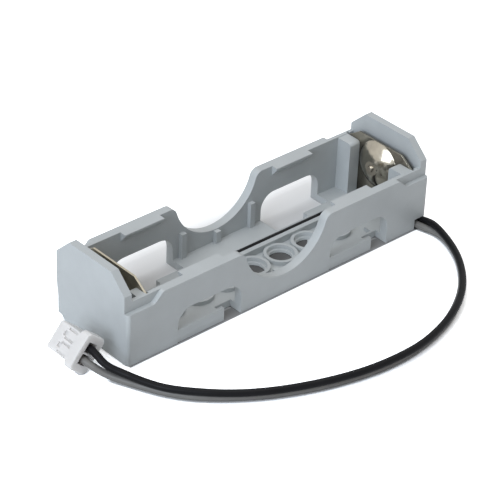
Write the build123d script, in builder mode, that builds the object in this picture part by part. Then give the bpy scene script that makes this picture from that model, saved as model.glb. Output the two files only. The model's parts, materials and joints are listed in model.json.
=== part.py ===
from build123d import *
import math
import os

# Cylindrical cell holder: a moulded tray, two sheet-metal contacts, two leads and a plug.
# Origin: bottom centre of the tray. +X runs from the sprung contact to the domed one,
# -Y is the side that the leads leave from, +Z is up. Millimetres.

# Tray
length = 64.0
width = 18.2
rail_height = 11.0
end_height = 15.3
end_wall = 1.4
side_wall = 1.55
floor = 1.25
end_chamfer_run = 3.2
end_chamfer_drop = 3.0
end_relief = 0.9
end_taper_top = 7.0
end_taper = 0.65
end_foot = 1.5
corner_radius = 0.6

# Outer skin of the side walls, which dips at both ends
skin = 0.85
shoulder_height = 9.35
shoulder_length = 5.2
shoulder_ramp = 1.7
shoulder_radius = 0.8

# Finger notch in both side walls
notch_radius = 8.8
notch_bottom = 3.55
notch_lip_radius = 1.5

# Windows low in both side walls, with a sill across the front ones
window_pitch = 32.0
window_shift = 0.35
window_length = 12.95
window_height = 5.95
window_radius = 2.8
sill_height = 2.35
sill_thickness = 0.65
sill_setback = 0.15
sill_slot = 3.4
sill_slot_depth = 2.5

# Snap lips that hold the cell down
lip_center_x = 16.0
lip_length = 8.0
lip_reach = 1.2
lip_nose = 0.3
lip_height = 1.8

# Stiffening ribs inside the side walls
rib_width = 1.0
rib_reach = 0.8
tall_rib_x = 7.4
tall_rib_height = 5.9
short_rib_height = 3.4

# Floor: a channel for the lead, a ledge beside it and a recess with riveting holes
channel_y = 2.55
channel_width = 1.3
channel_bottom = 0.35
ledge_width = 0.85
ledge_height = 1.75
recess_length = 44.0
recess_front_rim = 1.3
recess_bottom = 0.55
floor_gap = 0.3
floor_opening_radius = 0.45
floor_tab_length = 5.7
floor_tab_reach = 1.3
hole_pitch = 6.0
hole_count = 7
hole_y = -1.7
hole_diameter = 3.8
hole_counterbore = 4.6
hole_boss = 5.7

# Lead exit at the front right corner
pocket_length = 9.6
pocket_front_y = -4.7
exit_back_y = 0.6
exit_height = 1.85
exit_spread = 1.18
exit_step = 0.5

# Cell bay and contacts
cell_axis_z = 8.2
contact_sheet = 0.4
contact_top = 12.5
contact_chamfer_run = 2.9
contact_chamfer_drop = 2.0
contact_groove = 0.4
contact_clearance = 0.05
dome_gap = 0.95
dome_radius = 4.4
dome_height = 1.75
dome_bulge = 0.27
dome_flat_radius = 1.25
nipple_radius = 0.55
nipple_height = 0.3
dome_rib_thickness = 2.2
dome_rib_clearance = 0.15
spring_gap = 3.1
spring_rib_thickness = 1.5
spring_rib_reach = 2.3
tongue_width = 4.6
tongue_slot = 0.4
tongue_foot_z = 3.0
tongue_tip_z = 10.4
tongue_tip_out = 1.1
tongue_rise = 2.5
contact_rib_drop = 0.1
contact_rib_radius = 0.6
solder_tab_width = 1.2
solder_tab_bottom = 0.45
dome_tab_y = -4.0
lead_gate_y = 0.15
lead_gate_width = 2.3

# Leads
lead_diameter = 1.2
lead_rest = 0.02
lead_clearance = 0.15
lead_stub = 2.2
solder_length = 0.7
solder_diameter = 1.0
dome_solder_width = 0.75

# Plug, rolled about its own axis and resting on one edge
plug_gap = 5.5
plug_rear_y = -6.3
plug_roll = 49.0
plug_pitch = 2.0
plug_width = 4.7
plug_flange_width = 6.2
plug_thickness = 4.0
plug_length = 6.1
plug_flange_length = 1.6
plug_corner = 0.5
plug_edge = 0.25
plug_cavity_width = 1.7
plug_cavity_height = 1.9
plug_front_wall = 0.6
plug_pin_hole = 0.9
plug_groove_length = 2.0
plug_groove_width = 0.4
plug_groove_depth = 0.3
plug_lance_window = 0.8
terminal_clearance = 0.1
terminal_wall = 0.25
terminal_barrel = 1.2
lead_grip = 1.3

os.makedirs("parts", exist_ok=True)

half_length = length / 2
half_width = width / 2
bay_half_length = half_length - end_wall
bay_half_width = half_width - side_wall
core_half_width = half_width - skin
sides = (-1, 1)
lead_z = lead_diameter / 2 + lead_rest
black_exit_x = half_length - lead_diameter / 2 - lead_rest
black_exit_z = lead_z + exit_step
gray_exit_x = black_exit_x - exit_spread
plug_x = -half_length - plug_gap
over = 1.0

# Contact stations along X, from the end walls inwards
dome_back_x = bay_half_length - dome_gap
dome_front_x = dome_back_x - contact_sheet
spring_back_x = spring_gap - bay_half_length
spring_front_x = spring_back_x + contact_sheet

notch_center_z = notch_bottom + notch_radius
window_starts = [window_shift + side * window_pitch / 2 - window_length / 2 for side in sides]
channel_front_y = channel_y - channel_width / 2
channel_back_y = channel_y + channel_width / 2
recess_front_y = recess_front_rim - bay_half_width
recess_back_y = channel_front_y - ledge_width
pocket_x = bay_half_length - pocket_length
dome_rib_reach = bay_half_width - dome_radius - dome_rib_clearance


def save(builder, name):
    """Labels a finished piece and writes its STEP file."""
    builder.part.label = name
    export_step(builder.part, f"parts/{name}.step")


# Tray: one moulding
with BuildPart() as housing:
    with BuildSketch():
        RectangleRounded(length, width, corner_radius)
    extrude(amount=rail_height)

    # Cell bay
    with BuildSketch(Plane.XY.offset(floor)):
        Rectangle(2 * bay_half_length, 2 * bay_half_width)
    extrude(amount=rail_height, mode=Mode.SUBTRACT)

    # Outer skin cut down to a shoulder at both ends of both side walls
    for face_y in (half_width - skin, -half_width):
        with BuildSketch(Plane.XZ.offset(face_y)) as shoulder:
            with BuildLine():
                Polyline(
                    (-half_length - over, shoulder_height),
                    (-half_length + shoulder_length, shoulder_height),
                    (-half_length + shoulder_length + shoulder_ramp, rail_height),
                    (-half_length + shoulder_length + 2 * shoulder_ramp, rail_height),
                    (-half_length + shoulder_length + 2 * shoulder_ramp, rail_height + over),
                    (-half_length - over, rail_height + over),
                    close=True,
                )
            make_face()
            ramp_ends = shoulder.vertices().filter_by(lambda v: v.X > -half_length).sort_by(Axis.X)[:2]
            fillet(ramp_ends, shoulder_radius)
            mirror(about=Plane.YZ)
        extrude(amount=skin, mode=Mode.SUBTRACT)

    # End walls stand flush with the inner layer of the side walls
    for wall_x in (-half_length, bay_half_length):
        with BuildSketch(Plane.YZ.offset(wall_x)):
            Polygon(
                (-core_half_width, 0),
                (core_half_width, 0),
                (core_half_width, end_height - end_chamfer_drop),
                (core_half_width - end_chamfer_run, end_height),
                (end_chamfer_run - core_half_width, end_height),
                (-core_half_width, end_height - end_chamfer_drop),
                align=None,
            )
        extrude(amount=end_wall)

    # Back edge of the end walls, drawn in towards the foot
    for relief_x in (-half_length, half_length - end_relief):
        with BuildSketch(Plane.YZ.offset(relief_x)):
            Polygon(
                (core_half_width, rail_height),
                (core_half_width, end_taper_top),
                (core_half_width - end_taper, end_foot),
                (core_half_width - end_taper - end_foot, 0),
                (half_width, 0),
                (half_width, rail_height),
                align=None,
            )
        extrude(amount=end_relief, mode=Mode.SUBTRACT)

    # Snap lips: a flat nose over a slope that leads back to the wall
    for side in sides:
        for lip_x in (-lip_center_x, lip_center_x):
            with BuildSketch(Plane.YZ.offset(lip_x)):
                Polygon(
                    (side * bay_half_width, rail_height),
                    (side * (bay_half_width - lip_reach), rail_height),
                    (side * (bay_half_width - lip_reach), rail_height - lip_nose),
                    (side * bay_half_width, rail_height - lip_height),
                    align=None,
                )
            extrude(amount=lip_length / 2, both=True)

    # Stiffening ribs on the inside of the side walls
    for side in sides:
        for rib_x, rib_top in (
            (-tall_rib_x, tall_rib_height),
            (0, short_rib_height),
            (tall_rib_x, tall_rib_height),
        ):
            with BuildSketch():
                with Locations((rib_x, side * (bay_half_width - rib_reach / 2))):
                    Rectangle(rib_width, rib_reach)
            extrude(amount=rib_top)

    # Ribs that back the two contacts
    contact_rib_top = rail_height - contact_rib_drop
    for rib_start, rib_thickness, rib_reach_in in (
        (dome_front_x - contact_clearance - dome_rib_thickness, dome_rib_thickness, dome_rib_reach),
        (spring_back_x - contact_clearance - spring_rib_thickness, spring_rib_thickness, spring_rib_reach),
    ):
        for side in sides:
            with BuildSketch(Plane.YZ.offset(rib_start)) as rib_section:
                with Locations((side * (bay_half_width - rib_reach_in / 2), 0)):
                    Rectangle(rib_reach_in, contact_rib_top, align=(Align.CENTER, Align.MIN))
                inner_top = rib_section.vertices().group_by(Axis.Y)[-1].sort_by(Axis.X)
                fillet(inner_top[0] if side > 0 else inner_top[-1], contact_rib_radius)
            extrude(amount=rib_thickness)

    # Ledge beside the lead channel
    with BuildSketch():
        with Locations((0, channel_front_y - ledge_width / 2)):
            Rectangle(recess_length, ledge_width)
    extrude(amount=ledge_height)

    # Finger notch through both side walls
    with BuildSketch(Plane.XZ) as notch:
        with Locations((0, notch_center_z)):
            Circle(notch_radius)
        with Locations((0, rail_height)):
            Rectangle(2 * notch_radius + 6 * notch_lip_radius, notch_radius, align=(Align.CENTER, Align.MIN))
        notch_rims = notch.vertices().filter_by(
            lambda v: abs(v.Y - rail_height) < 0.01 and abs(v.X) < notch_radius
        )
        fillet(notch_rims, notch_lip_radius)
    extrude(amount=half_width + over, both=True, mode=Mode.SUBTRACT)

    # Windows, open at the bottom, through both side walls
    for wall_y in (bay_half_width, -half_width):
        with BuildSketch(Plane.XZ.offset(wall_y)) as window:
            with Locations(*((start, 0) for start in window_starts)):
                Rectangle(window_length, window_height, align=(Align.MIN, Align.MIN))
            fillet(window.vertices().group_by(Axis.Y)[-1], window_radius)
        extrude(amount=side_wall, mode=Mode.SUBTRACT)

    # Floor carried out under the front windows, with a sill and a slot at the sill's end
    for strip_width, strip_height in ((side_wall - sill_setback, floor), (sill_thickness, sill_height)):
        with BuildSketch():
            with Locations(*((start, sill_setback - half_width) for start in window_starts)):
                Rectangle(window_length - sill_slot, strip_width, align=(Align.MIN, Align.MIN))
        extrude(amount=strip_height)
    with BuildSketch():
        with Locations(*((start + window_length, -half_width) for start in window_starts)):
            Rectangle(sill_slot, sill_slot_depth, align=(Align.MAX, Align.MIN))
    extrude(amount=floor, mode=Mode.SUBTRACT)

    # Floor opened under the windows of the back wall, but for a tab at one end
    with BuildSketch() as floor_openings:
        opening_front = channel_back_y + floor_gap
        with Locations(*((start, opening_front) for start in window_starts)):
            Rectangle(window_length, bay_half_width - opening_front, align=(Align.MIN, Align.MIN))
        with Locations(*((start + window_length, opening_front) for start in window_starts)):
            Rectangle(
                floor_tab_length, floor_tab_reach, align=(Align.MAX, Align.MIN), mode=Mode.SUBTRACT
            )
        fillet(floor_openings.vertices().group_by(Axis.Y)[0], floor_opening_radius)
    extrude(amount=ledge_height, mode=Mode.SUBTRACT)

    # Lead channel along the floor, and the pocket under the domed contact
    with BuildSketch(Plane.XY.offset(channel_bottom)):
        with Locations((spring_back_x, channel_y)):
            Rectangle(pocket_x + over - spring_back_x, channel_width, align=(Align.MIN, Align.CENTER))
        with Locations((pocket_x, pocket_front_y)):
            Rectangle(
                bay_half_length - pocket_x,
                channel_back_y - pocket_front_y,
                align=(Align.MIN, Align.MIN),
            )
    extrude(amount=ledge_height, mode=Mode.SUBTRACT)

    # Recess in front of the ledge, with a bored boss for each rivet
    with BuildSketch(Plane.XY.offset(recess_bottom)):
        with Locations((0, recess_front_y)):
            Rectangle(recess_length, recess_back_y - recess_front_y, align=(Align.CENTER, Align.MIN))
        with Locations((0, hole_y)):
            with GridLocations(hole_pitch, 0, hole_count, 1):
                Circle(hole_boss / 2, mode=Mode.SUBTRACT)
    extrude(amount=floor - recess_bottom, mode=Mode.SUBTRACT)
    with Locations((0, hole_y, floor)):
        with GridLocations(hole_pitch, 0, hole_count, 1):
            CounterBoreHole(hole_diameter / 2, hole_counterbore / 2, floor - recess_bottom)

    # Slot under the front right corner where the leads leave
    with BuildSketch():
        with Locations((half_length + over, -half_width - over)):
            Rectangle(
                half_length + over - gray_exit_x + lead_diameter / 2 + lead_clearance,
                half_width + over + exit_back_y,
                align=(Align.MAX, Align.MIN),
            )
    extrude(amount=exit_height, mode=Mode.SUBTRACT)

    # Grooves in the side walls that the contact plates slide down
    for groove_x in (dome_front_x, spring_back_x):
        with BuildSketch(Plane.XY.offset(floor)):
            with Locations((groove_x - contact_clearance, 0)):
                Rectangle(
                    contact_sheet + 2 * contact_clearance,
                    2 * (bay_half_width + contact_groove),
                    align=(Align.MIN, Align.CENTER),
                )
        extrude(amount=end_height, mode=Mode.SUBTRACT)


plate_half_width = bay_half_width + contact_groove - 2 * contact_clearance


def contact_outline():
    """Draws the plate that both contacts share, in the plane across the tray."""
    return Polygon(
        (-plate_half_width, floor),
        (plate_half_width, floor),
        (plate_half_width, contact_top - contact_chamfer_drop),
        (plate_half_width - contact_chamfer_run, contact_top),
        (contact_chamfer_run - plate_half_width, contact_top),
        (-plate_half_width, contact_top - contact_chamfer_drop),
        align=None,
    )


def solder_tab(tab_y):
    """Draws the tab that a lead is soldered to."""
    with Locations((tab_y, solder_tab_bottom)):
        return Rectangle(
            solder_tab_width, floor + over - solder_tab_bottom, align=(Align.CENTER, Align.MIN)
        )


# Domed contact for the cell's button end
with BuildPart() as dome_contact:
    with BuildSketch(Plane.YZ.offset(dome_front_x)):
        contact_outline()
        solder_tab(dome_tab_y)
        with Locations((lead_gate_y, floor)):
            Rectangle(lead_gate_width, 2 * contact_sheet, mode=Mode.SUBTRACT)
    extrude(amount=contact_sheet)
    for inset, base_x, join in ((0, 0, Mode.ADD), (contact_sheet, contact_sheet, Mode.SUBTRACT)):
        dome_base = (dome_front_x + base_x, 0, cell_axis_z)
        with BuildSketch(Plane(origin=dome_base, x_dir=(0, 1, 0), z_dir=(0, 0, 1))):
            with BuildLine():
                flank = SagittaArc(
                    (dome_radius - inset, 0), (dome_flat_radius - inset / 2, dome_height), -dome_bulge
                )
                Line(flank @ 1, (0, dome_height))
                Line((0, dome_height), (0, 0))
                Line((0, 0), flank @ 0)
            make_face()
        revolve(axis=Axis((dome_front_x, 0, cell_axis_z), (1, 0, 0)), mode=join)
    with BuildSketch(Plane.YZ.offset(dome_front_x - dome_height)):
        with Locations((0, cell_axis_z)):
            Circle(nipple_radius)
    extrude(amount=-nipple_height, taper=20)

# Sprung contact: a plate with a bowed tongue lanced from it
with BuildPart() as spring_contact:
    with BuildSketch(Plane.YZ.offset(spring_back_x)):
        contact_outline()
        solder_tab(channel_y)
        with Locations((0, tongue_foot_z)):
            Rectangle(
                tongue_width + 2 * tongue_slot,
                tongue_tip_z - tongue_foot_z + tongue_slot,
                align=(Align.CENTER, Align.MIN),
                mode=Mode.SUBTRACT,
            )
    extrude(amount=contact_sheet)
    with BuildSketch(Plane.XZ):
        with BuildLine():
            ThreePointArc(
                (spring_back_x + contact_sheet / 2, tongue_foot_z - contact_sheet / 2),
                (spring_back_x + tongue_rise, cell_axis_z),
                (spring_front_x + tongue_tip_out, tongue_tip_z),
            )
        trace(line_width=contact_sheet)
    extrude(amount=tongue_width / 2, both=True)

# Leads: the stretches that the tray holds, then the free stretches to the plug
channel_lead_z = channel_bottom + lead_z
black_start_x = spring_front_x + solder_length
gray_start_y = dome_tab_y - solder_tab_width / 2

plug_sine = math.sin(math.radians(plug_roll))
plug_cosine = math.cos(math.radians(plug_roll))
plug_z = lead_rest + plug_flange_width / 2 * plug_sine + (plug_thickness / 2 - plug_corner) * plug_cosine
plug_rear = Plane(
    origin=(plug_x, plug_rear_y, plug_z), x_dir=(plug_cosine, 0, plug_sine), z_dir=(0, 1, 0)
)
black_pin = plug_rear.from_local_coords((plug_pitch / 2, 0, lead_grip))
gray_pin = plug_rear.from_local_coords((-plug_pitch / 2, 0, lead_grip))

black_channel_route = [
    (black_start_x, channel_y, channel_lead_z),
    (black_exit_x - 9.88, channel_y, channel_lead_z),
    (black_exit_x - 4.18, 1.9, channel_lead_z),
    (black_exit_x - 0.98, -0.6, channel_lead_z),
    (black_exit_x, -4.2, black_exit_z),
    (black_exit_x, -half_width, black_exit_z),
]
# Free loops from the tray to the plug: X in tray half-lengths, then Y and Z
gray_loop = [
    (0.933, -14.2, lead_z),
    (0.894, -17.9, lead_z),
    (0.8, -22.8, lead_z),
    (0.67, -27.4, lead_z),
    (0.5, -31.1, lead_z),
    (0.297, -33.4, lead_z),
    (0.078, -34.55, lead_z),
    (-0.141, -34.2, lead_z),
    (-0.36, -32.6, lead_z),
    (-0.569, -30.1, lead_z),
    (-0.75, -26.7, lead_z),
    (-0.9, -22.8, lead_z),
    (-1.013, -18.4, lead_z),
    (-1.109, -14.1, 1.05),
    (-1.172, -10.6, 1.95),
]
black_loop = [
    (0.973, -14.0, 1.2),
    (0.941, -17.6, 1.45),
    (0.825, -22.6, 1.95),
    (0.666, -27.2, 1.95),
    (0.481, -29.95, 1.25),
    (0.287, -32.1, lead_z),
    (0.076, -33.25, lead_z),
    (-0.135, -32.9, lead_z),
    (-0.348, -31.35, lead_z),
    (-0.551, -28.9, lead_z),
    (-0.727, -25.6, lead_z),
    (-0.871, -21.85, lead_z),
    (-0.98, -17.6, 0.8),
    (-1.0625, -13.9, 1.6),
    (-1.131, -10.6, 3.2),
]
gray_route = [
    (gray_exit_x, -half_width, lead_z),
    (gray_exit_x, -half_width - lead_stub, lead_z),
    *((share * half_length, y, z) for share, y, z in gray_loop),
    (gray_pin.X, plug_rear_y - lead_grip, gray_pin.Z),
    (gray_pin.X, gray_pin.Y, gray_pin.Z),
]
black_route = [
    (black_exit_x, -half_width, black_exit_z),
    (black_exit_x, -half_width - lead_stub, black_exit_z),
    *((share * half_length, y, z) for share, y, z in black_loop),
    (black_pin.X, plug_rear_y - lead_grip, black_pin.Z),
    (black_pin.X, black_pin.Y, black_pin.Z),
]


def bend_radii(route):
    """Gives each corner of a route the largest arc that its two runs leave room for."""
    radii = []
    for before, corner, after in zip(route, route[1:], route[2:]):
        run_in = Vector(*corner) - Vector(*before)
        run_out = Vector(*after) - Vector(*corner)
        half_turn = math.radians(run_in.get_angle(run_out) / 2)
        radii.append(0.45 * min(run_in.length, run_out.length) / math.tan(half_turn))
    return radii


leads = {}
for lead_name, route in (
    ("black_channel_lead", black_channel_route),
    ("black_lead", black_route),
    ("gray_lead", gray_route),
):
    radii = bend_radii(route)
    with BuildPart() as leads[lead_name]:
        with BuildLine() as lead_path:
            FilletPolyline(*route, radius=radii)
        with BuildSketch(Plane(origin=lead_path.line @ 0, z_dir=lead_path.line % 0)):
            Circle(lead_diameter / 2)
        sweep()
    lead_length = sum(edge.length for edge in lead_path.edges())
    lead_volume = math.pi * lead_diameter**2 / 4 * lead_length
    print(
        f"{lead_name}: length {lead_length:.1f}, radii {min(radii):.1f} to {max(radii):.1f}, "
        f"volume {leads[lead_name].part.volume:.2f} of {lead_volume:.2f}"
    )

with BuildPart() as leads["gray_tail_lead"]:
    with BuildSketch(Plane.XZ.offset(-gray_start_y)):
        with Locations((gray_exit_x, lead_z)):
            Circle(lead_diameter / 2)
    extrude(amount=half_width + gray_start_y)

# Solder that joins each lead to its tab
with BuildPart() as spring_solder:
    with BuildSketch(Plane.YZ.offset(spring_front_x)):
        with Locations((channel_y, channel_lead_z)):
            Circle(solder_diameter / 2)
    extrude(amount=solder_length)

with BuildPart() as dome_solder:
    with BuildSketch(Plane.XZ.offset(-gray_start_y)):
        with Locations((dome_back_x, lead_z)):
            Rectangle(dome_solder_width, solder_diameter, align=(Align.MIN, Align.CENTER))
    extrude(amount=-solder_length)

# Plug housing: a body with a flange at the lead end and one cavity for each terminal
plug_ways = (-plug_pitch / 2, plug_pitch / 2)
with BuildPart() as plug_housing:
    with BuildSketch(plug_rear) as flange:
        Rectangle(plug_flange_width, plug_thickness)
        chamfer(flange.vertices(), plug_corner)
    extrude(amount=plug_flange_length)
    with BuildSketch(plug_rear) as body:
        Rectangle(plug_width, plug_thickness)
        chamfer(body.vertices(), plug_edge)
    extrude(amount=plug_length)
    with BuildSketch(plug_rear):
        with Locations(*((way, 0) for way in plug_ways)):
            Rectangle(plug_cavity_width, plug_cavity_height)
    extrude(amount=plug_length - plug_front_wall, mode=Mode.SUBTRACT)
    with BuildSketch(plug_rear.offset(plug_length - plug_front_wall)):
        with Locations(*((way, 0) for way in plug_ways)):
            Rectangle(plug_pin_hole, plug_pin_hole)
    extrude(amount=plug_front_wall, mode=Mode.SUBTRACT)
    groove_edge = plug_width / 2 - plug_groove_width
    groove_places = (-groove_edge, -plug_groove_width, plug_groove_width, groove_edge)
    with BuildSketch(plug_rear.offset(plug_flange_length + plug_groove_width)):
        with Locations(*((place, -plug_thickness / 2) for place in groove_places)):
            Rectangle(plug_groove_width, 2 * plug_groove_depth)
    extrude(amount=plug_groove_length, mode=Mode.SUBTRACT)
    with BuildSketch(plug_rear.offset(plug_length - 3 * plug_lance_window)):
        with Locations(*((way, -plug_thickness / 2) for way in plug_ways)):
            Rectangle(plug_lance_window, 2 * plug_groove_depth)
    extrude(amount=plug_lance_window, mode=Mode.SUBTRACT)

# Crimp terminals: a box that takes the pin, and a barrel closed on the lead
terminals = {}
box_width = plug_cavity_width - 2 * terminal_clearance
box_height = plug_cavity_height - 2 * terminal_clearance
terminal_front = plug_length - plug_front_wall - terminal_clearance
for color, way in (("gray", plug_ways[0]), ("black", plug_ways[1])):
    with BuildPart() as terminals[color]:
        with BuildSketch(plug_rear.offset(lead_grip)):
            with Locations((way, 0)):
                Circle(lead_diameter / 2)
        extrude(amount=terminal_barrel)
        with BuildSketch(plug_rear.offset(lead_grip + terminal_barrel)):
            with Locations((way, 0)):
                Rectangle(box_width, box_height)
        extrude(amount=terminal_front - lead_grip - terminal_barrel)
        with BuildSketch(plug_rear.offset(lead_grip + terminal_barrel + terminal_wall)):
            with Locations((way, 0)):
                Rectangle(box_width - 2 * terminal_wall, box_height - 2 * terminal_wall)
        extrude(amount=terminal_front, mode=Mode.SUBTRACT)

save(housing, "housing")
save(dome_contact, "dome_contact")
save(spring_contact, "spring_contact")
save(spring_solder, "spring_solder")
save(dome_solder, "dome_solder")
save(plug_housing, "plug_housing")
for lead_name, lead in leads.items():
    save(lead, lead_name)
for color, terminal in terminals.items():
    save(terminal, f"{color}_terminal")
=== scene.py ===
"""Studio picture of a cylindrical cell holder with two leads and a plug.

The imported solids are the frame. The tray, the contacts and the plug keep their solids and get soft moulded
edges and finishes, and the two free leads are drawn as smooth curves in place of theirs. Units are metres.
"""

from __future__ import annotations

import json
import logging
from dataclasses import dataclass
from enum import Enum
from typing import Any

import bpy
from mathutils import Matrix, Vector

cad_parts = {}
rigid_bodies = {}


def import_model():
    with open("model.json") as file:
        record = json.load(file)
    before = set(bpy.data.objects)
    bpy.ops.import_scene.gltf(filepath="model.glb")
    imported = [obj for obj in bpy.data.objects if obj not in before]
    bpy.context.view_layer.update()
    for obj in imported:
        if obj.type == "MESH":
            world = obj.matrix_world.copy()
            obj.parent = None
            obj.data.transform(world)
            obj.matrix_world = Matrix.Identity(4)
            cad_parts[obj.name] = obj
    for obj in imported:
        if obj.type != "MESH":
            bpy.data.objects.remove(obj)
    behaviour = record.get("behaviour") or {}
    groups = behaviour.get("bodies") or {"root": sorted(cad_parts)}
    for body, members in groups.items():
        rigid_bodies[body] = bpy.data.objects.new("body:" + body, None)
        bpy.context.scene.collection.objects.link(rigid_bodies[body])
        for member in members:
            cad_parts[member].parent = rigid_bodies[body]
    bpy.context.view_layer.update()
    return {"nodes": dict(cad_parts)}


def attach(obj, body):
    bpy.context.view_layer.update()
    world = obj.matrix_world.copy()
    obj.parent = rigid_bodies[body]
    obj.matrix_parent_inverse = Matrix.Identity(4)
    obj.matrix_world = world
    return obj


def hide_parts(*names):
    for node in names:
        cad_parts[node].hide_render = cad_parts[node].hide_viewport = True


Point = tuple[float, float, float]
Color = tuple[float, float, float]

LOG = logging.getLogger("cell_holder")
ROOT_BODY = "root"
MM = 0.001
ORIGIN: Point = (0.0, 0.0, 0.0)
WHITE: Color = (1.0, 1.0, 1.0)
COOL_WHITE: Color = (0.91, 1.0, 1.12)
NOISE_LOW = 0.3
NOISE_HIGH = 0.7
OCCLUSION_SAMPLES = 16


class Stiffness(Enum):
    """How a lead resists bending."""

    LIMP = "limp"
    MEDIUM = "medium"
    STIFF = "stiff"


class FarEnd(Enum):
    """What a lead ends in."""

    PLUG = "plug"
    BARE = "bare"


class NodeGraph:
    """A material's node tree, with short calls to add and join its nodes."""

    def __init__(self, name: str) -> None:
        """Starts an empty material.

        Args:
            name: The material's name.
        """
        self.material = bpy.data.materials.new(name)
        self.material.use_nodes = True
        self.tree = self.material.node_tree
        self.tree.nodes.clear()
        self.output = self.tree.nodes.new("ShaderNodeOutputMaterial")

    def add(self, kind: str, inputs: dict[str, Any] | None = None, **settings: Any) -> bpy.types.Node:
        """Adds a node.

        Args:
            kind: The node's type name.
            inputs: Values for its input sockets.
            settings: Values for its own properties.

        Returns:
            The new node.
        """
        node = self.tree.nodes.new(kind)
        for key, value in settings.items():
            setattr(node, key, value)
        for key, value in (inputs or {}).items():
            node.inputs[key].default_value = value
        return node

    def join(self, source: bpy.types.NodeSocket, target: bpy.types.NodeSocket) -> None:
        """Links one socket to another."""
        self.tree.links.new(source, target)

    def own_coordinates(self) -> bpy.types.NodeSocket:
        """Returns the socket that gives a point's place in the object's own frame."""
        return self.add("ShaderNodeTexCoord").outputs["Object"]

    def noise(self, scale: float, layers: float, roughness: float = 0.55) -> bpy.types.NodeSocket:
        """Adds a noise over the object's own frame.

        Args:
            scale: Waves in each metre.
            layers: Number of finer layers.
            roughness: Share that each finer layer keeps.

        Returns:
            The noise's value socket.
        """
        texture = self.add(
            "ShaderNodeTexNoise", {"Scale": scale, "Detail": layers, "Roughness": roughness}
        )
        self.join(self.own_coordinates(), texture.inputs["Vector"])
        return texture.outputs["Fac"]

    def ranged(
        self, source: bpy.types.NodeSocket, start: float, end: float, low: float, high: float
    ) -> bpy.types.NodeSocket:
        """Maps a value from one range to another, and holds it there.

        Args:
            source: The value.
            start: Value that gives the low result.
            end: Value that gives the high result.
            low: Result at the start.
            high: Result at the end.

        Returns:
            The mapped value's socket.
        """
        mapped = self.add(
            "ShaderNodeMapRange", {"From Min": start, "From Max": end, "To Min": low, "To Max": high}
        )
        self.join(source, mapped.inputs["Value"])
        return mapped.outputs["Result"]

    def spread(self, source: bpy.types.NodeSocket, low: float, high: float) -> bpy.types.NodeSocket:
        """Maps a noise's usual spread to a range.

        Args:
            source: The noise's value.
            low: Result for a low value.
            high: Result for a high value.

        Returns:
            The mapped value's socket.
        """
        return self.ranged(source, NOISE_LOW, NOISE_HIGH, low, high)

    def tint(self, source: bpy.types.NodeSocket, dark: Color, light: Color) -> bpy.types.NodeSocket:
        """Blends two colours by a value.

        Args:
            source: The value, from 0 to 1.
            dark: Colour at 0.
            light: Colour at 1.

        Returns:
            The blended colour's socket.
        """
        mix = self.add("ShaderNodeMix", data_type="RGBA")
        mix.inputs["A"].default_value = (*dark, 1.0)
        mix.inputs["B"].default_value = (*light, 1.0)
        self.join(source, mix.inputs["Factor"])
        return mix.outputs["Result"]

    def bump(self, height: bpy.types.NodeSocket, depth: float, share: float) -> bpy.types.NodeSocket:
        """Adds a bump.

        Args:
            height: The height's socket.
            depth: Height of a full step, in metres.
            share: Share of the bump that shows.

        Returns:
            The bumped normal's socket.
        """
        node = self.add("ShaderNodeBump", {"Distance": depth, "Strength": share})
        self.join(height, node.inputs["Height"])
        return node.outputs["Normal"]

    def operation(
        self, kind: str, first: bpy.types.NodeSocket, second: bpy.types.NodeSocket | float = 0.0
    ) -> bpy.types.NodeSocket:
        """Adds a sum, product or the like of two values.

        Args:
            kind: The operation's name.
            first: The first value's socket.
            second: The second value, or its socket.

        Returns:
            The result's socket.
        """
        node = self.add("ShaderNodeMath", operation=kind)
        self.join(first, node.inputs[0])
        if isinstance(second, bpy.types.NodeSocket):
            self.join(second, node.inputs[1])
        else:
            node.inputs[1].default_value = second
        return node.outputs["Value"]

    def finish(self, shader: bpy.types.Node, output: str) -> bpy.types.Material:
        """Shows a shader on the surface.

        Args:
            shader: The last node.
            output: The name of its shader socket.

        Returns:
            The finished material.
        """
        self.join(shader.outputs[output], self.output.inputs["Surface"])
        return self.material


def looking_rays(tree: bpy.types.NodeTree) -> bpy.types.NodeSocket:
    """Tells the rays that look at the surroundings from those that carry their light.

    Args:
        tree: The floor's or the world's node tree.

    Returns:
        The socket that is 1 for what is seen straight, in a shiny face or through a clear one.
    """
    path = tree.nodes.new("ShaderNodeLightPath")
    result = path.outputs["Is Camera Ray"]
    for kind in ("Is Glossy Ray", "Is Transmission Ray"):
        either = tree.nodes.new("ShaderNodeMath")
        either.operation = "MAXIMUM"
        tree.links.new(result, either.inputs[0])
        tree.links.new(path.outputs[kind], either.inputs[1])
        result = either.outputs["Value"]
    return result


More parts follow.
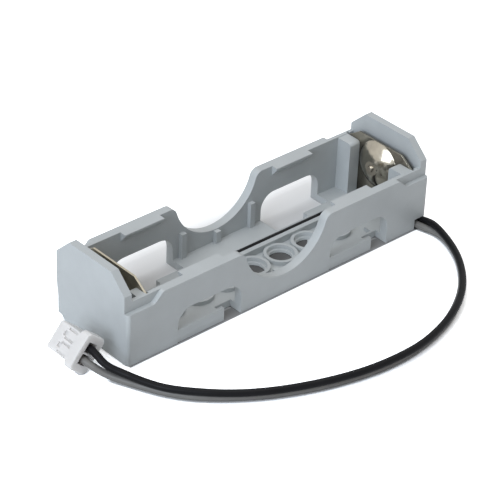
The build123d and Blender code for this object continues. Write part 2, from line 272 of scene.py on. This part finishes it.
@dataclass(frozen=True)
class MouldedPlastic:
    """A moulded or extruded plastic with a fine skin and slightly uneven gloss."""

    name: str
    color: Color
    variation: float
    roughness: float
    gloss_spread: float
    grain: float
    grain_depth: float
    specular: float = 0.5
    scatter: float = 0.0
    scatter_depth: float = 1.2 * MM
    cloud_scale: float = 260.0
    cloud_layers: float = 3.0
    gloss_scale: float = 900.0
    gloss_layers: float = 3.0
    grain_layers: float = 2.0
    grain_share: float = 0.35

    def build(self) -> bpy.types.Material:
        """Makes the material.

        Returns:
            The finished material.
        """
        graph = NodeGraph(self.name)
        dark = tuple(c * (1.0 - self.variation) for c in self.color)
        light = tuple(min(1.0, c * (1.0 + self.variation)) for c in self.color)
        shader = graph.add(
            "ShaderNodeBsdfPrincipled",
            {
                "Specular IOR Level": self.specular,
                "Subsurface Weight": self.scatter,
                "Subsurface Radius": (1.0, 1.0, 1.0),
                "Subsurface Scale": self.scatter_depth,
            },
        )
        clouds = graph.spread(graph.noise(self.cloud_scale, self.cloud_layers), 0.0, 1.0)
        graph.join(graph.tint(clouds, dark, light), shader.inputs["Base Color"])
        gloss = graph.noise(self.gloss_scale, self.gloss_layers)
        smoothest = self.roughness - self.gloss_spread
        roughest = self.roughness + self.gloss_spread
        graph.join(graph.spread(gloss, smoothest, roughest), shader.inputs["Roughness"])
        skin = graph.noise(self.grain, self.grain_layers)
        graph.join(graph.bump(skin, self.grain_depth, self.grain_share), shader.inputs["Normal"])
        return graph.finish(shader, "BSDF")


@dataclass(frozen=True)
class PlatedMetal:
    """Thin metal plate with a slightly uneven, drawn surface, with painted shade darkening its crevices when
    a reach for it is given.
    """

    name: str
    color: Color
    variation: float
    roughness: float
    gloss_spread: float
    ripple_depth: float
    painted_crevice_shade: float = 0.0
    tarnish_scale: float = 420.0
    tarnish_layers: float = 4.0
    gloss_scale: float = 1500.0
    gloss_layers: float = 3.0
    ripple_scale: float = 800.0
    ripple_layers: float = 2.0
    ripple_share: float = 0.4

    def build(self) -> bpy.types.Material:
        """Makes the material.

        Returns:
            The finished material.
        """
        graph = NodeGraph(self.name)
        dark = tuple(c * (1.0 - self.variation) for c in self.color)
        shader = graph.add("ShaderNodeBsdfPrincipled", {"Metallic": 1.0})
        tarnish = graph.spread(graph.noise(self.tarnish_scale, self.tarnish_layers), 0.0, 1.0)
        tone = graph.tint(tarnish, dark, self.color)
        # Painted shade: ambient occlusion darkens the base colour in crevices, standing in for shade and
        # dark reflections.
        if self.painted_crevice_shade:
            painted_shade = graph.add(
                "ShaderNodeAmbientOcclusion", {"Distance": self.painted_crevice_shade}, samples=OCCLUSION_SAMPLES
            )
            graph.join(tone, painted_shade.inputs["Color"])
            tone = painted_shade.outputs["Color"]
        graph.join(tone, shader.inputs["Base Color"])
        gloss = graph.noise(self.gloss_scale, self.gloss_layers)
        smoothest = self.roughness - self.gloss_spread
        roughest = self.roughness + self.gloss_spread
        graph.join(graph.spread(gloss, smoothest, roughest), shader.inputs["Roughness"])
        ripple = graph.noise(self.ripple_scale, self.ripple_layers)
        graph.join(graph.bump(ripple, self.ripple_depth, self.ripple_share), shader.inputs["Normal"])
        return graph.finish(shader, "BSDF")


@dataclass(frozen=True)
class ContactShade:
    """The thin dark line that a floor shows where something stands on it."""

    reach: float
    closed: float
    open: float
    deepest: float

    def level(self, graph: NodeGraph) -> bpy.types.NodeSocket:
        """Adds the shade to a material.

        Args:
            graph: The floor's material.

        Returns:
            The socket of the light that is left, from the deepest shade to 1.
        """
        nearby = graph.add(
            "ShaderNodeAmbientOcclusion", {"Distance": self.reach}, samples=OCCLUSION_SAMPLES
        )
        return graph.ranged(nearby.outputs["AO"], self.closed, self.open, self.deepest, 1.0)


@dataclass(frozen=True)
class ShadedPatch:
    """A soft-edged oblong of the floor that the tray keeps light from."""

    middle: tuple[float, float]
    half: tuple[float, float]
    fade: float
    deepest: float

    def level(self, graph: NodeGraph) -> bpy.types.NodeSocket:
        """Adds the shade to a material.

        Args:
            graph: The floor's material.

        Returns:
            The socket of the light that is left, from the deepest shade to 1.
        """
        place = graph.add("ShaderNodeSeparateXYZ")
        graph.join(graph.own_coordinates(), place.inputs["Vector"])
        beyond = []
        for axis, name in enumerate("XY"):
            shifted = graph.operation("SUBTRACT", place.outputs[name], self.middle[axis])
            distance = graph.operation("ABSOLUTE", shifted)
            beyond.append(graph.operation("SUBTRACT", distance, self.half[axis]))
        outside = graph.operation("MAXIMUM", *beyond)
        return graph.ranged(outside, -self.fade, 0.0, self.deepest, 1.0)


@dataclass(frozen=True)
class StudioSweep:
    """A pale matt floor, lit up where it is looked at, so that only deep shade stays on it."""

    name: str
    color: Color
    mirrored_lift: float
    lift: float
    contact: ContactShade
    patches: tuple[ShadedPatch, ...]

    def build(self) -> bpy.types.Material:
        """Makes the material.

        Returns:
            The finished material.
        """
        graph = NodeGraph(self.name)
        plain = graph.add("ShaderNodeBsdfDiffuse", {"Color": (*self.color, 1.0)})
        straight = graph.add("ShaderNodeLightPath").outputs["Is Camera Ray"]
        lift = graph.ranged(straight, 0.0, 1.0, self.mirrored_lift, self.lift)
        left = graph.operation("MULTIPLY", self.contact.level(graph), lift)
        for patch in self.patches:
            left = graph.operation("MULTIPLY", left, patch.level(graph))
        lifted = graph.add("ShaderNodeBsdfDiffuse")
        graph.join(left, lifted.inputs["Color"])
        mix = graph.add("ShaderNodeMixShader")
        graph.join(looking_rays(graph.tree), mix.inputs["Fac"])
        graph.join(plain.outputs["BSDF"], mix.inputs[1])
        graph.join(lifted.outputs["BSDF"], mix.inputs[2])
        return graph.finish(mix, "Shader")


Finish = MouldedPlastic | PlatedMetal | StudioSweep

TRAY_PLASTIC = MouldedPlastic(
    name="tray_plastic",
    color=(0.45, 0.475, 0.48),
    variation=0.03,
    roughness=0.42,
    gloss_spread=0.05,
    grain=5200.0,
    grain_depth=0.00002,
)
PLUG_NYLON = MouldedPlastic(
    name="plug_nylon",
    color=(0.68, 0.665, 0.65),
    variation=0.02,
    roughness=0.4,
    gloss_spread=0.05,
    grain=4200.0,
    grain_depth=0.00002,
    scatter=1.0,
)
BLACK_PVC = MouldedPlastic(
    name="black_pvc",
    color=(0.008, 0.008, 0.009),
    variation=0.2,
    roughness=0.42,
    gloss_spread=0.06,
    grain=3000.0,
    grain_depth=0.00003,
    specular=0.1,
)
GRAY_PVC = MouldedPlastic(
    name="gray_pvc",
    color=(0.165, 0.16, 0.152),
    variation=0.08,
    roughness=0.42,
    gloss_spread=0.06,
    grain=3000.0,
    grain_depth=0.00003,
    specular=0.3,
)
NICKEL = PlatedMetal(
    name="nickel",
    color=(0.5, 0.46, 0.38),
    variation=0.25,
    roughness=0.18,
    gloss_spread=0.05,
    ripple_depth=0.0001,
    # Painted shade darkens the plate in the crevices beside the dome and its rib.
    painted_crevice_shade=4.0 * MM,
)
SPRING_NICKEL = PlatedMetal(
    name="spring_nickel",
    color=(0.48, 0.44, 0.35),
    variation=0.2,
    roughness=0.42,
    gloss_spread=0.06,
    ripple_depth=0.0001,
)
SOLDER = PlatedMetal(
    name="solder",
    color=(0.62, 0.62, 0.64),
    variation=0.15,
    roughness=0.28,
    gloss_spread=0.08,
    ripple_depth=0.00006,
)
TINNED_BRASS = PlatedMetal(
    name="tinned_brass",
    color=(0.66, 0.64, 0.6),
    variation=0.1,
    roughness=0.25,
    gloss_spread=0.06,
    ripple_depth=0.00002,
)
UNDER_TRAY = ShadedPatch(middle=(0.0, 0.0), half=(31.8 * MM, 8.9 * MM), fade=7.0 * MM, deepest=0.25)
UNDER_FRONT = ShadedPatch(
    middle=(0.0, -3.88 * MM), half=(31.9 * MM, 5.78 * MM), fade=0.3 * MM, deepest=0.25
)
UNDER_FRONT_WALL = ShadedPatch(
    middle=(0.0, -8.2 * MM), half=(31.9 * MM, 1.3 * MM), fade=0.3 * MM, deepest=0.5
)
BEHIND_TRAY = ShadedPatch(
    middle=(2.0 * MM, 9.75 * MM), half=(37.0 * MM, 14.75 * MM), fade=12.0 * MM, deepest=0.42
)
SWEEP = StudioSweep(
    name="studio_sweep",
    color=(0.86, 0.86, 0.86),
    mirrored_lift=1.15,
    lift=2.2,
    contact=ContactShade(reach=0.6 * MM, closed=0.5, open=0.62, deepest=0.35),
    patches=(UNDER_TRAY, UNDER_FRONT, UNDER_FRONT_WALL, BEHIND_TRAY),
)


class Workshop:
    """Keeps one material for each finish."""

    def __init__(self) -> None:
        """Starts with no materials."""
        self._made: dict[str, bpy.types.Material] = {}

    def of(self, finish: Finish) -> bpy.types.Material:
        """Gives a finish's material, made on first use.

        Args:
            finish: The finish.

        Returns:
            Its material.
        """
        if finish.name not in self._made:
            self._made[finish.name] = finish.build()
        return self._made[finish.name]


@dataclass(frozen=True)
class EdgeSoftening:
    """The small radius that a mould or a press leaves on every sharp edge."""

    radius: float
    segments: int
    sharp_angle: float = 0.55
    weld_distance: float = 0.002 * MM
    flat_angle: float = 0.002

    def apply(self, piece: bpy.types.Object) -> None:
        """Rounds a piece's sharp edges without touching its own points.

        Args:
            piece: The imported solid's object.
        """
        weld = piece.modifiers.new("weld", "WELD")
        weld.merge_threshold = self.weld_distance
        flat = piece.modifiers.new("flat", "DECIMATE")
        flat.decimate_type = "DISSOLVE"
        flat.angle_limit = self.flat_angle
        bevel = piece.modifiers.new("edges", "BEVEL")
        bevel.width = self.radius
        bevel.segments = self.segments
        bevel.limit_method = "ANGLE"
        bevel.angle_limit = self.sharp_angle
        bevel.use_clamp_overlap = True
        bevel.harden_normals = True
        bevel.miter_outer = "MITER_ARC"


@dataclass(frozen=True)
class Piece:
    """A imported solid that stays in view."""

    node: str
    finish: MouldedPlastic | PlatedMetal
    edges: EdgeSoftening | None = None

    def dress(self, nodes: dict[str, bpy.types.Object], materials: Workshop) -> bpy.types.Object:
        """Gives the solid its finish and its edges.

        Args:
            nodes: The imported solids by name.
            materials: The shop that keeps one material for each finish.

        Returns:
            The dressed object.
        """
        piece = nodes[self.node]
        piece.data.materials.clear()
        piece.data.materials.append(materials.of(self.finish))
        if self.edges:
            self.edges.apply(piece)
        LOG.info("dressed %s in %s", self.node, self.finish.name)
        return piece


@dataclass(frozen=True)
class Lead:
    """A free lead from the tray to the plug, on one smooth line."""

    name: str
    node: str
    finish: MouldedPlastic
    slot: str
    length: float
    diameter: float
    route: tuple[Point, ...]
    stiffness: Stiffness = Stiffness.MEDIUM
    far_end: FarEnd = FarEnd.PLUG
    round_steps: int = 6
    run_steps: int = 16
    curve_order: int = 3

    def build(self, materials: Workshop, carried: list[bpy.types.Object]) -> None:
        """Args:
            materials: The shop that keeps one material for each finish.
            carried: The pieces on the lead's far end; not used.
        """
        curve = bpy.data.curves.new(self.name, "CURVE")
        curve.dimensions = "3D"
        curve.bevel_depth = self.diameter / 2
        curve.bevel_resolution = self.round_steps
        curve.use_fill_caps = True
        curve.resolution_u = self.run_steps
        spline = curve.splines.new("NURBS")
        spline.points.add(len(self.route) - 1)
        for target, place in zip(spline.points, self.route):
            target.co = (*place, 1.0)
        spline.order_u = self.curve_order
        spline.use_endpoint_u = True
        lead = bpy.data.objects.new(self.name, curve)
        bpy.context.scene.collection.objects.link(lead)
        curve.materials.append(materials.of(self.finish))
        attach(lead, ROOT_BODY)
        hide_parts(self.node)
        LOG.info("drew %s through %d points", self.name, len(self.route))


@dataclass(frozen=True)
class CellHolder:
    """The tray with its two contacts and the leads that it holds."""

    tray_edge: EdgeSoftening = EdgeSoftening(radius=0.22 * MM, segments=2)
    sheet_edge: EdgeSoftening = EdgeSoftening(radius=0.06 * MM, segments=1)

    def dress(self, nodes: dict[str, bpy.types.Object], materials: Workshop) -> None:
        """Dresses the tray's own pieces.

        Args:
            nodes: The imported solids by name.
            materials: The shop that keeps one material for each finish.
        """
        for piece in (
            Piece("housing", TRAY_PLASTIC, self.tray_edge),
            Piece("dome_contact", NICKEL, self.sheet_edge),
            Piece("spring_contact", SPRING_NICKEL, self.sheet_edge),
            Piece("spring_solder", SOLDER),
            Piece("dome_solder", SOLDER),
            Piece("black_channel_lead", BLACK_PVC),
            Piece("gray_tail_lead", GRAY_PVC),
        ):
            piece.dress(nodes, materials)


# Heights of the middle lines where the gray lead lies on the floor and the black one on top of it
GRAY_HEIGHT = 0.00062
BLACK_HEIGHT = 0.00183
GRAY_ROUTE: tuple[Point, ...] = (
    (0.0302, -0.0091, GRAY_HEIGHT),
    (0.03045, -0.0105, GRAY_HEIGHT),
    (0.031, -0.0125, GRAY_HEIGHT),
    (0.0309, -0.0147, GRAY_HEIGHT),
    (0.02995, -0.0174, GRAY_HEIGHT),
    (0.0282, -0.0206, GRAY_HEIGHT),
    (0.02585, -0.0235, GRAY_HEIGHT),
    (0.02295, -0.02635, GRAY_HEIGHT),
    (0.01905, -0.0291, GRAY_HEIGHT),
    (0.01415, -0.0316, GRAY_HEIGHT),
    (0.0093, -0.03305, GRAY_HEIGHT),
    (0.0042, -0.034, GRAY_HEIGHT),
    (-0.0012, -0.03415, GRAY_HEIGHT),
    (-0.0066, -0.03335, GRAY_HEIGHT),
    (-0.012, -0.03195, GRAY_HEIGHT),
    (-0.0171, -0.02995, GRAY_HEIGHT),
    (-0.02185, -0.0275, GRAY_HEIGHT),
    (-0.0259, -0.0247, GRAY_HEIGHT),
    (-0.0295, -0.0216, GRAY_HEIGHT),
    (-0.03195, -0.01835, GRAY_HEIGHT),
    (-0.03365, -0.01505, GRAY_HEIGHT),
    (-0.035, -0.0121, GRAY_HEIGHT),
    (-0.0365, -0.0093, 0.001),
    (-0.038, -0.0071, 0.0024),
    (-0.038156, -0.005, 0.002589),
)
BLACK_ROUTE: tuple[Point, ...] = (
    (0.03138, -0.0091, 0.00112),
    (0.0314, -0.0102, 0.0014),
    (0.03075, -0.0125, 0.00205),
    (0.02985, -0.0158, 0.00187),
    (0.0282, -0.0195, BLACK_HEIGHT),
    (0.02605, -0.0229, BLACK_HEIGHT),
    (0.0232, -0.0262, BLACK_HEIGHT),
    (0.0197, -0.0292, BLACK_HEIGHT),
    (0.0153, -0.0317, BLACK_HEIGHT),
    (0.01025, -0.03355, BLACK_HEIGHT),
    (0.005, -0.0347, BLACK_HEIGHT),
    (-0.0004, -0.03475, BLACK_HEIGHT),
    (-0.0059, -0.03415, BLACK_HEIGHT),
    (-0.0114, -0.03275, BLACK_HEIGHT),
    (-0.0167, -0.0308, BLACK_HEIGHT),
    (-0.0217, -0.02835, BLACK_HEIGHT),
    (-0.026, -0.0254, BLACK_HEIGHT),
    (-0.02965, -0.0219, BLACK_HEIGHT),
    (-0.0325, -0.0185, BLACK_HEIGHT),
    (-0.03395, -0.0152, BLACK_HEIGHT),
    (-0.035, -0.012, 0.0019),
    (-0.0366, -0.0094, 0.0027),
    (-0.036844, -0.0072, 0.004098),
    (-0.036844, -0.005, 0.004098),
)


@dataclass(frozen=True)
class LeadSet:
    """The plug with its terminals, and the two leads that run to it."""

    diameter: float = 1.2 * MM
    black_length: float = 94.8 * MM
    gray_length: float = 96.4 * MM
    plug_edge: EdgeSoftening = EdgeSoftening(radius=0.12 * MM, segments=2)

    def build(self, nodes: dict[str, bpy.types.Object], materials: Workshop) -> None:
        """Dresses the plug and draws both leads.

        Args:
            nodes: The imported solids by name.
            materials: The shop that keeps one material for each finish.
        """
        plug = Piece("plug_housing", PLUG_NYLON, self.plug_edge).dress(nodes, materials)
        black_terminal = Piece("black_terminal", TINNED_BRASS).dress(nodes, materials)
        gray_terminal = Piece("gray_terminal", TINNED_BRASS).dress(nodes, materials)
        black = Lead(
            name="black_lead_run",
            node="black_lead",
            finish=BLACK_PVC,
            slot="black_pvc",
            length=self.black_length,
            diameter=self.diameter,
            route=BLACK_ROUTE,
        )
        gray = Lead(
            name="gray_lead_run",
            node="gray_lead",
            finish=GRAY_PVC,
            slot="gray_pvc",
            length=self.gray_length,
            diameter=self.diameter,
            route=GRAY_ROUTE,
        )
        black.build(materials, [plug, black_terminal])
        gray.build(materials, [gray_terminal])


@dataclass(frozen=True)
class Softbox:
    """A flat studio lamp that faces the object."""

    name: str
    place: Point
    width: float
    height: float
    power: float
    color: Color = WHITE
    target: Point = ORIGIN

    def build(self) -> None:
        """Hangs the lamp."""
        lamp = bpy.data.lights.new(self.name, "AREA")
        lamp.shape = "RECTANGLE"
        lamp.size = self.width
        lamp.size_y = self.height
        lamp.energy = self.power
        lamp.color = self.color
        holder = bpy.data.objects.new(self.name, lamp)
        holder.location = self.place
        aim = Vector(self.target) - Vector(self.place)
        holder.rotation_euler = aim.to_track_quat("-Z", "Y").to_euler()
        bpy.context.scene.collection.objects.link(holder)


@dataclass(frozen=True)
class Studio:
    """The floor, the lamps, the surrounding light and the camera."""

    floor_half: float = 3.0
    ambient: float = 0.34
    backdrop: float = 1.0
    camera_place: Point = (-0.201217, -0.215594, 0.198252)
    camera_right: Point = (0.74540, -0.66565, 0.03603)
    camera_up: Point = (0.34506, 0.43151, 0.83347)
    camera_forward: Point = (0.57036, 0.60885, -0.55135)
    lens: float = 158.17
    sensor: float = 36.0
    nearest: float = 0.01
    farthest: float = 20.0
    lamps: tuple[Softbox, ...] = (
        Softbox("key_softbox", (-0.55, -0.11, 0.31), width=0.4, height=0.4, power=2.5, color=COOL_WHITE),
        Softbox("top_softbox", (0.05, 0.05, 0.7), width=0.6, height=0.6, power=2.05),
    )

    def lay_floor(self, materials: Workshop) -> None:
        """Lays the pale floor under the object.

        Args:
            materials: The shop that keeps one material for each finish.
        """
        half = self.floor_half
        mesh = bpy.data.meshes.new("studio_floor")
        corners = [(-half, -half, 0.0), (half, -half, 0.0), (half, half, 0.0), (-half, half, 0.0)]
        mesh.from_pydata(corners, [], [(0, 1, 2, 3)])
        floor = bpy.data.objects.new("studio_floor", mesh)
        mesh.materials.append(materials.of(SWEEP))
        bpy.context.scene.collection.objects.link(floor)

    def light(self) -> None:
        """Sets the surrounding light and hangs the lamps."""
        world = bpy.data.worlds.new("studio_air")
        world.use_nodes = True
        nodes = world.node_tree.nodes
        links = world.node_tree.links
        nodes.clear()
        output = nodes.new("ShaderNodeOutputWorld")
        mix = nodes.new("ShaderNodeMixShader")
        links.new(looking_rays(world.node_tree), mix.inputs["Fac"])
        for socket, strength in ((1, self.ambient), (2, self.backdrop)):
            air = nodes.new("ShaderNodeBackground")
            air.inputs["Color"].default_value = (*WHITE, 1.0)
            air.inputs["Strength"].default_value = strength
            links.new(air.outputs["Background"], mix.inputs[socket])
        links.new(mix.outputs["Shader"], output.inputs["Surface"])
        bpy.context.scene.world = world
        for lamp in self.lamps:
            lamp.build()

    def place_camera(self) -> None:
        """Stands the camera at the picture's own angle."""
        data = bpy.data.cameras.new("picture_camera")
        data.lens = self.lens
        data.sensor_width = self.sensor
        data.clip_start = self.nearest
        data.clip_end = self.farthest
        camera = bpy.data.objects.new("picture_camera", data)
        right = Vector(self.camera_right)
        up = Vector(self.camera_up)
        back = -Vector(self.camera_forward)
        turn = Matrix((right, up, back)).transposed().to_4x4()
        camera.matrix_world = Matrix.Translation(Vector(self.camera_place)) @ turn
        bpy.context.scene.collection.objects.link(camera)
        bpy.context.scene.camera = camera

    def build(self, materials: Workshop) -> None:
        """Builds the whole studio.

        Args:
            materials: The shop that keeps one material for each finish.
        """
        self.lay_floor(materials)
        self.light()
        self.place_camera()
        bpy.context.scene.view_settings.view_transform = "Standard"


def clear_scene() -> None:
    """Removes whatever the scene starts with."""
    for leftover in list(bpy.data.objects):
        bpy.data.objects.remove(leftover)


def main() -> None:
    """Builds the scene."""
    logging.basicConfig(level=logging.INFO)
    clear_scene()
    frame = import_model()
    materials = Workshop()
    CellHolder().dress(frame["nodes"], materials)
    LeadSet().build(frame["nodes"], materials)
    Studio().build(materials)


if __name__ == "__main__":
    main()
